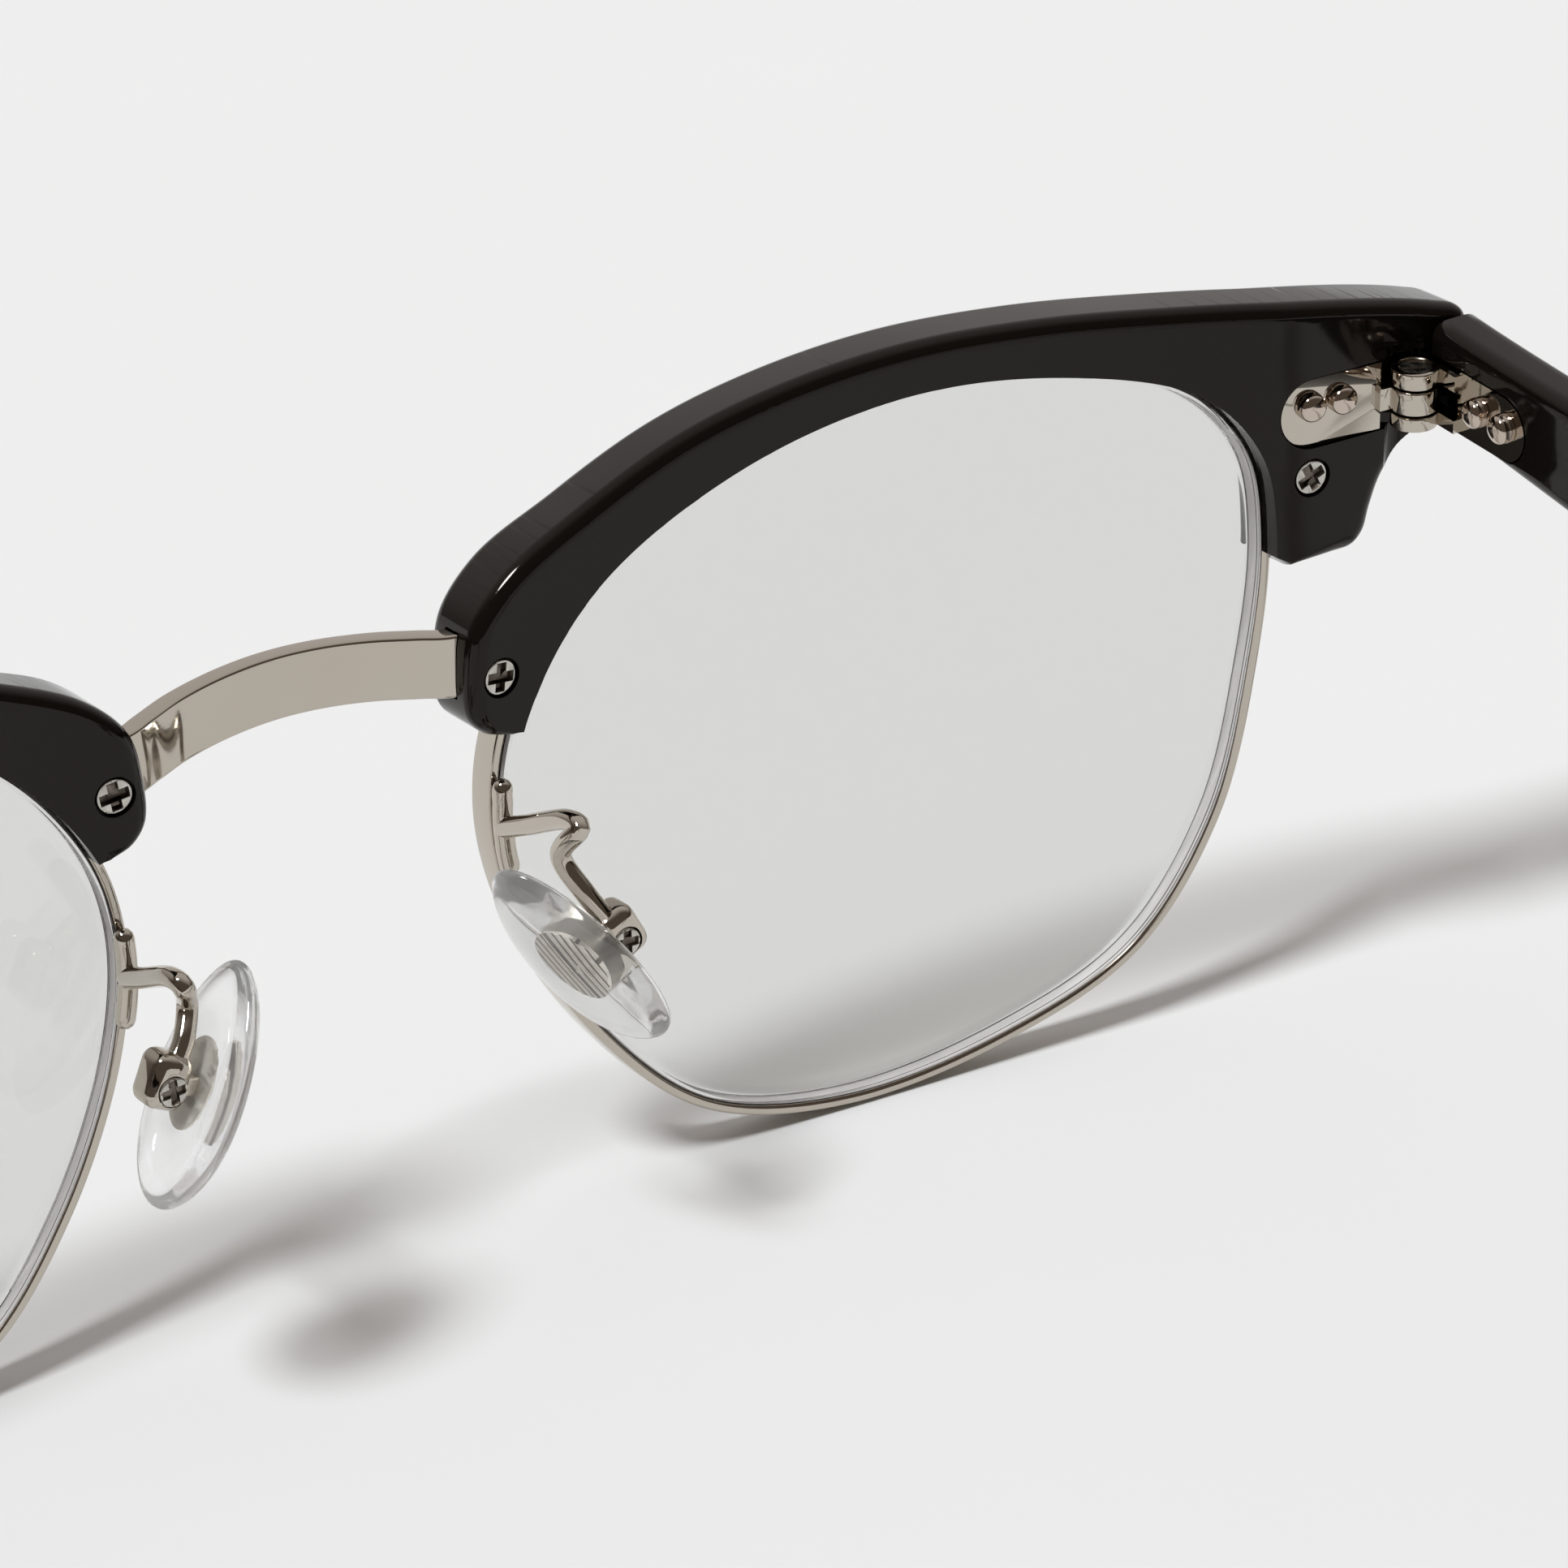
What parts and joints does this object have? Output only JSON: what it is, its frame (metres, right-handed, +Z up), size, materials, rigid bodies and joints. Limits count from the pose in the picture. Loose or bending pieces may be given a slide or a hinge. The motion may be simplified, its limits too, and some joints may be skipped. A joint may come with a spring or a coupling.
{
  "type": "browline eyeglasses",
  "caption": "Half-rim browline eyeglasses: dark acetate brows and temples screwed to thin metal rims, a metal bridge, barrel hinges and clear nose pads.",
  "frame": {"origin": "centre of the bounding box's footprint, on the surface that the rims and temple tips stand on", "axes": "+X towards the wearer's left, -Y forward through the lenses, +Y back along the temples, +Z up"},
  "size_m": [0.1482, 0.1439, 0.0452],
  "materials": {
    "acetate": "polished black acetate",
    "nickel": "polished nickel silver",
    "screw": "turned steel",
    "lens": "clear polished plano lens",
    "pad": "clear moulded pad"
  },
  "bodies": {
    "front": {"bridge": "nickel", "brow_left": "acetate", "rim_left": "nickel", "lens_left": "lens", "brow_screw_nasal_left": "screw", "brow_screw_temporal_left": "screw", "rim_lock_screw_left": "screw", "hinge_front_leaf_left": "nickel", "hinge_screw_left": "screw", "hinge_front_rivet_1_left": "nickel", "hinge_front_rivet_2_left": "nickel", "pad_arm_left": "nickel", "pad_screw_left": "screw", "brow_right": "acetate", "rim_right": "nickel", "lens_right": "lens", "brow_screw_nasal_right": "screw", "brow_screw_temporal_right": "screw", "rim_lock_screw_right": "screw", "hinge_front_leaf_right": "nickel", "hinge_screw_right": "screw", "hinge_front_rivet_1_right": "nickel", "hinge_front_rivet_2_right": "nickel", "pad_arm_right": "nickel", "pad_screw_right": "screw"},
    "left_temple": {"temple_left": "acetate", "temple_core_left": "nickel", "hinge_temple_leaf_left": "nickel", "hinge_temple_rivet_1_left": "nickel", "hinge_temple_rivet_2_left": "nickel"},
    "left_pad": {"nose_pad_left": "pad", "pad_insert_left": "nickel"},
    "right_temple": {"temple_right": "acetate", "temple_core_right": "nickel", "hinge_temple_leaf_right": "nickel", "hinge_temple_rivet_1_right": "nickel", "hinge_temple_rivet_2_right": "nickel"},
    "right_pad": {"nose_pad_right": "pad", "pad_insert_right": "nickel"}
  },
  "joints": [
    {"name": "left_temple_fold", "type": "hinge", "parent": "front", "child": "left_temple", "pos_m": [0.0692, -0.06016, 0.0361], "axis": [0, 0, 1], "range_deg": [0, 87]},
    {"name": "right_temple_fold", "type": "hinge", "parent": "front", "child": "right_temple", "pos_m": [-0.0692, -0.06016, 0.0361], "axis": [0, 0, -1], "range_deg": [0, 82]},
    {"name": "left_pad_rock", "type": "hinge", "parent": "front", "child": "left_pad", "pos_m": [0.014, -0.05672, 0.01963], "axis": [0, 0.9934, 0.1149], "range_deg": [-6, 6]},
    {"name": "right_pad_rock", "type": "hinge", "parent": "front", "child": "right_pad", "pos_m": [-0.014, -0.05672, 0.01963], "axis": [0, 0.9934, 0.1149], "range_deg": [-6, 6]}
  ]
}
